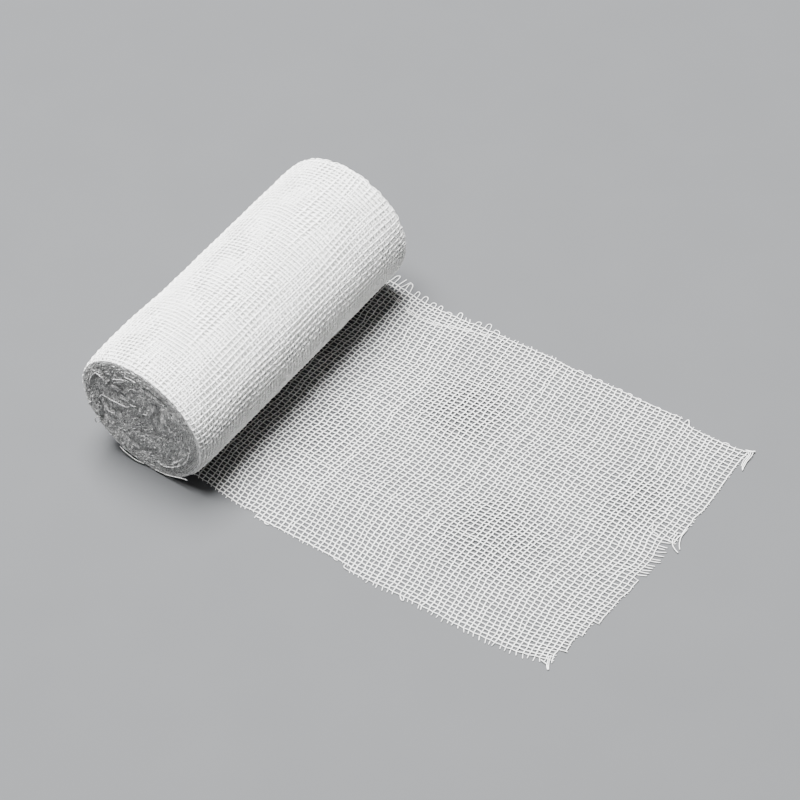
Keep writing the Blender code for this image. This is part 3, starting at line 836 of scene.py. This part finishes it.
fringe = {
    "farLoop": (                   # x, length of the weft loops past the last warp
        (4, 3.6), (13, 4.4), (19, 4.4), (24, 3.6), (28, 2.9), (32, 2.2), (36, 2.4), (38, 1.1), (42, 3.0),
        (47, 1.9), (51, 2.6), (57, 1.7), (64, 1.2), (80, 0.8), (104, 0.7), (120, 0.4), (130, 0.8),
        (152, 0.5),
    ),
    "nearLoop": (
        (4, 0.6), (28, 0.75), (50, 0.85), (72, 0.75), (80, 1.0), (100, 1.4), (120, 1.8), (134, 2.1),
        (140, 1.6), (152, 1.3),
    ),
    "farLean": -0.14,
    "nearLean": 0.42,
    "wholeTo": {-1: 0 * mm, 1: 60 * mm},       # weft loops are mostly whole up to this x, then broken
    "wholeShare": 0.8,
    "brokenShare": {-1: 0.15, 1: 0.3},         # loops that are whole all the same
    "lastLoop": {-1: 72, 1: 76},
    "width": 0.28 * mm,
    "height": 0.28 * mm,
    "notchEnd": 3.0 * mm,
    "notchLean": 0.34,
    "frayedEnd": 0.45 * mm,
    "frayedLean": 0.15,
    "strays": (                    # width, then x, y and height of thread ends and slack threads
        (0.30, ((151.2, 14.5, 0.4), (151.2, 11.5, 0.5), (151.9, 9.3, 0.6), (152.7, 7.8, 0.6),
                (153.4, 6.9, 0.4))),
        (0.30, ((149.6, 12.0, 0.5), (149.7, 9.6, 0.6), (150.2, 8.0, 0.8), (151.2, 6.7, 0.8),
                (152.4, 6.0, 0.6),
                (153.6, 5.6, 0.4))),
        (0.32, ((152.1, 50.6, 0.5), (152.5, 49.0, 0.7), (152.4, 46.6, 0.6), (152.6, 44.8, 0.5),
                (153.0, 42.8, 0.4))),
        (0.30, ((151.5, 50.4, 0.6), (152.0, 48.6, 0.8), (152.0, 46.4, 0.7), (152.3, 44.2, 0.5),
                (152.8, 43.2, 0.4))),
        (0.30, ((150.8, 50.3, 0.7), (151.6, 48.6, 0.9), (151.5, 46.2, 0.8), (151.9, 44.0, 0.5))),
        (0.30, ((149.8, 50.1, 0.7), (151.0, 50.3, 0.9), (151.9, 50.7, 0.8), (152.3, 51.4, 0.5))),
        (0.30, ((149.4, 49.2, 0.7), (150.8, 49.9, 0.9), (151.8, 50.5, 0.8), (152.5, 51.2, 0.6))),
        (0.32, ((143.2, -45.4, 0.5), (143.9, -47.4, 0.6), (144.5, -48.6, 0.5), (145.3, -49.9, 0.3))),
        (0.30, ((142.8, -46.2, 0.7), (143.7, -47.9, 0.7), (144.2, -49.2, 0.6), (145.1, -50.1, 0.3))),
        (0.30, ((141.6, -48.3, 0.5), (143.0, -48.6, 0.7), (144.2, -48.9, 0.6), (145.0, -49.8, 0.3))),
        (0.20, ((13.0, 50.6, 0.2), (18, 48.2, 0.2), (23, 46.3, 0.2), (28, 45.0, 0.2), (33, 44.4, 0.2),
                (38, 45.0, 0.2), (43, 46.5, 0.2), (48, 47.9, 0.2), (54, 49.1, 0.2), (58, 50.3, 0.2),
                 (62, 51.5, 0.2))),
        (0.20, ((6.0, 52.0, 0.2), (13.0, 51.4, 0.2), (18, 49.0, 0.2), (23, 46.7, 0.2), (28, 44.6, 0.2),
                (33, 43.9, 0.2), (38, 44.6, 0.2), (43, 46.1, 0.2), (49, 47.9, 0.2), (55, 49.5, 0.2))),
        (0.28, ((142.0, 10.6, 0.9), (142.6, 8.9, 0.9), (143.6, 8.2, 0.8), (145.0, 8.0, 0.9),
                (146.2, 7.0, 0.8))),
        (0.28, ((73.4, -49.6, 0.5), (73.5, -51.2, 0.5), (75.6, -51.5, 0.5))),
        (0.28, ((128.2, 50.2, 0.6), (128.6, 51.6, 0.6), (129.3, 51.0, 0.6), (130.2, 49.6, 0.4))),
    ),
}


def loopPoints(start, finish, out, length):
    # Hairpin from one pick to the next, out by length * (1 - |2s - 1|^1.5)
    s = np.linspace(0, 1, 15)[None, :, None]
    side = 0.4 * s + 0.6 * smooth(2.4 * s - 0.7)
    reach = length[:, None, None] * (1 - np.abs(2 * s - 1) ** 1.5)
    points = start[:, None] * (1 - side) + finish[:, None] * side + out[:, None] * reach
    sunk = np.sin(math.pi * s[..., 0])
    points[..., 2] = points[..., 2] * (1 - sunk) + 0.32 * mm * sunk
    return points


def makeFringe(warpPath, pickPath, x, y):
    # Weft loops and broken ends along both sides, bare and frayed warp ends, slack threads
    draw = np.random.default_rng(9)
    bundle = Bundle()
    up = np.array([0.0, 0.0, 1.0])
    offset = looseEnd["firstPick"]
    warps, picks = warpPath.shape[:2]
    rowY = y[:, -3] / mm

    def addThreads(points, wide=fringe["width"], tall=fringe["height"]):
        points[..., 2] = np.maximum(points[..., 2], tall / 2 + 0.03 * mm)
        width = wide * draw.uniform(0.85, 1.1, (len(points), 1))
        bundle.add(points, up, width, tall, 6, draw.uniform(0.2, 1, len(points)))

    for side, table, lean, first in ((-1, "nearLoop", "nearLean", 0), (1, "farLoop", "farLean", 1)):
        edge = []
        for pick in range(picks):
            runs = pickSpans(pick + offset, warps, rowY)
            edge.append(runs[0][0] if side < 0 else runs[-1][1] - 1)
        edge = np.array(edge)
        pairs = np.arange(first + offset % 2, picks - 1, 2)
        pairs = pairs[pairs + offset <= fringe["lastLoop"][side]]
        start = pickPath[edge[pairs], pairs]
        finish = pickPath[edge[pairs + 1], pairs + 1]
        length = curved(fringe[table], x[edge[pairs], pairs]) * draw.uniform(0.7, 1.15, len(pairs))
        leans = fringe[lean] + draw.normal(0, 0.16, len(pairs))
        out = np.stack([leans, np.full(len(pairs), float(side)), np.zeros(len(pairs))], axis=-1)
        whole = x[edge[pairs], pairs] < fringe["wholeTo"][side]
        chance = np.where(whole, fringe["wholeShare"], fringe["brokenShare"][side])
        closed = draw.uniform(size=len(pairs)) < chance
        addThreads(loopPoints(start[closed], finish[closed], out[closed], length[closed]))
        s = np.linspace(0, 1, 5)[None, :, None]
        for root in (start[~closed], finish[~closed]):
            wayOut = out[~closed] + draw.normal(0, 0.12, out[~closed].shape) * (1, 0, 0)
            reach = (length[~closed] * draw.uniform(0.7, 1.1, len(root)))[:, None, None]
            bend = draw.normal(0, 0.12 * mm, (len(root), 1, 1)) * s ** 2 * np.array([1.0, 0, 0])
            points = root[:, None] + wayOut[:, None] * reach * s + bend
            points[..., 2] = points[..., 2] * (1 - s[..., 0]) + 0.25 * mm * s[..., 0]
            addThreads(points)

    ends = []
    for warp in range(warps):
        last = warpSpan(warp, rowY[warp])[1] - offset
        root = warpPath[warp, last]
        if looseEnd["notch"][0] <= rowY[warp] < looseEnd["notch"][1]:
            reach, tilt = fringe["notchEnd"] * draw.uniform(0.82, 1.06), fringe["notchLean"]
        else:
            reach, tilt = fringe["frayedEnd"] * draw.uniform(0.3, 1.6), fringe["frayedLean"]
        slope = tilt + draw.normal(0, 0.07)
        s = np.linspace(0, 1, 7)[:, None]
        points = root + reach * s * np.array([1.0, 0, 0]) + reach * slope * s ** 1.4 * np.array([0, 1.0, 0])
        points[:, 2] = root[2] * (1 - s[:, 0]) + 0.3 * mm * s[:, 0]
        ends.append(points)
    addThreads(np.array(ends))
    for wide, line in fringe["strays"]:
        points = splineThrough(line, 6 * len(line)) * mm
        addThreads((points + np.array([axisX, middleY, 0]))[None], wide * mm, wide * mm)
    return bundle.make("fringeThreads", looseFinish, "loose_threads")


makeTurns()
makeBody()
makeLayerEdges("nearLayerEdges", -1, 41, 0.7 * mm, 1.7 * mm)
makeLayerEdges("farLayerEdges", 1, 51, 1.1 * mm, 3.6 * mm)
makeFaceThreads()
warpPath, pickPath, placeX, placeY = weaveLooseEnd()
looseCloth = makeLooseEnd(warpPath, pickPath, placeY)
fringeThreads = makeFringe(warpPath, pickPath, placeX, placeY)


studio = {
    "target": (axisX + 47.746 * mm, middleY + 12.179 * mm, 0.0),
    "distance": 0.800,
    "azimuth": 41.33,              # degrees round from looking along +Y
    "elevation": 46.9,
    "roll": -7.1,
    "lens": 115.2,
    "floorHalf": 3.0,
    "lights": (                    # name, place, size, power
        ("keyLight", (-0.34, 0.12, 1.68), 1.05, 238),
        ("fillLight", (-0.35, -0.80, 0.20), 0.5, 1.4),
    ),
    "air": 0.13,
}


def makeFloor():
    size = studio["floorHalf"]
    mesh = bpy.data.meshes.new("floor")
    corners = [(-size, -size, 0), (size, -size, 0), (size, size, 0), (-size, size, 0)]
    mesh.from_pydata(corners, [], [(0, 1, 2, 3)])
    finish = Finish("palePaper", 0.8)
    finish.colour(finish.noise(30, 2), (0.070, 0.072, 0.075), (0.077, 0.079, 0.082))
    mesh.materials.append(finish.material)
    floor = bpy.data.objects.new("floor", mesh)
    bpy.context.collection.objects.link(floor)


def makeLight(name, place, size, power):
    # a square lamp that faces the middle of the floor
    light = bpy.data.lights.new(name, "AREA")
    light.shape = "SQUARE"
    light.size = size
    light.energy = power
    lamp = bpy.data.objects.new(name, light)
    lamp.location = place
    lamp.rotation_euler = (Vector((0, 0, 0)) - Vector(place)).to_track_quat("-Z", "Y").to_euler()
    bpy.context.collection.objects.link(lamp)


def makeCamera():
    azimuth = math.radians(studio["azimuth"])
    elevation = math.radians(studio["elevation"])
    back = Vector((
        math.sin(azimuth) * math.cos(elevation),
        -math.cos(azimuth) * math.cos(elevation),
        math.sin(elevation),
    ))
    lens = bpy.data.cameras.new("camera")
    lens.lens = studio["lens"]
    lens.sensor_width = 36
    lens.clip_start = 0.01
    camera = bpy.data.objects.new("camera", lens)
    camera.location = Vector(studio["target"]) + back * studio["distance"]
    facing = back.to_track_quat("Z", "Y") @ Quaternion((0, 0, 1), math.radians(studio["roll"]))
    camera.rotation_euler = facing.to_euler()
    bpy.context.collection.objects.link(camera)
    bpy.context.scene.camera = camera


makeFloor()
for light in studio["lights"]:
    makeLight(*light)
world = bpy.data.worlds.new("studioAir")
world.use_nodes = True
world.node_tree.nodes["Background"].inputs[0].default_value = (1, 1, 1, 1)
world.node_tree.nodes["Background"].inputs[1].default_value = studio["air"]
bpy.context.scene.world = world
makeCamera()
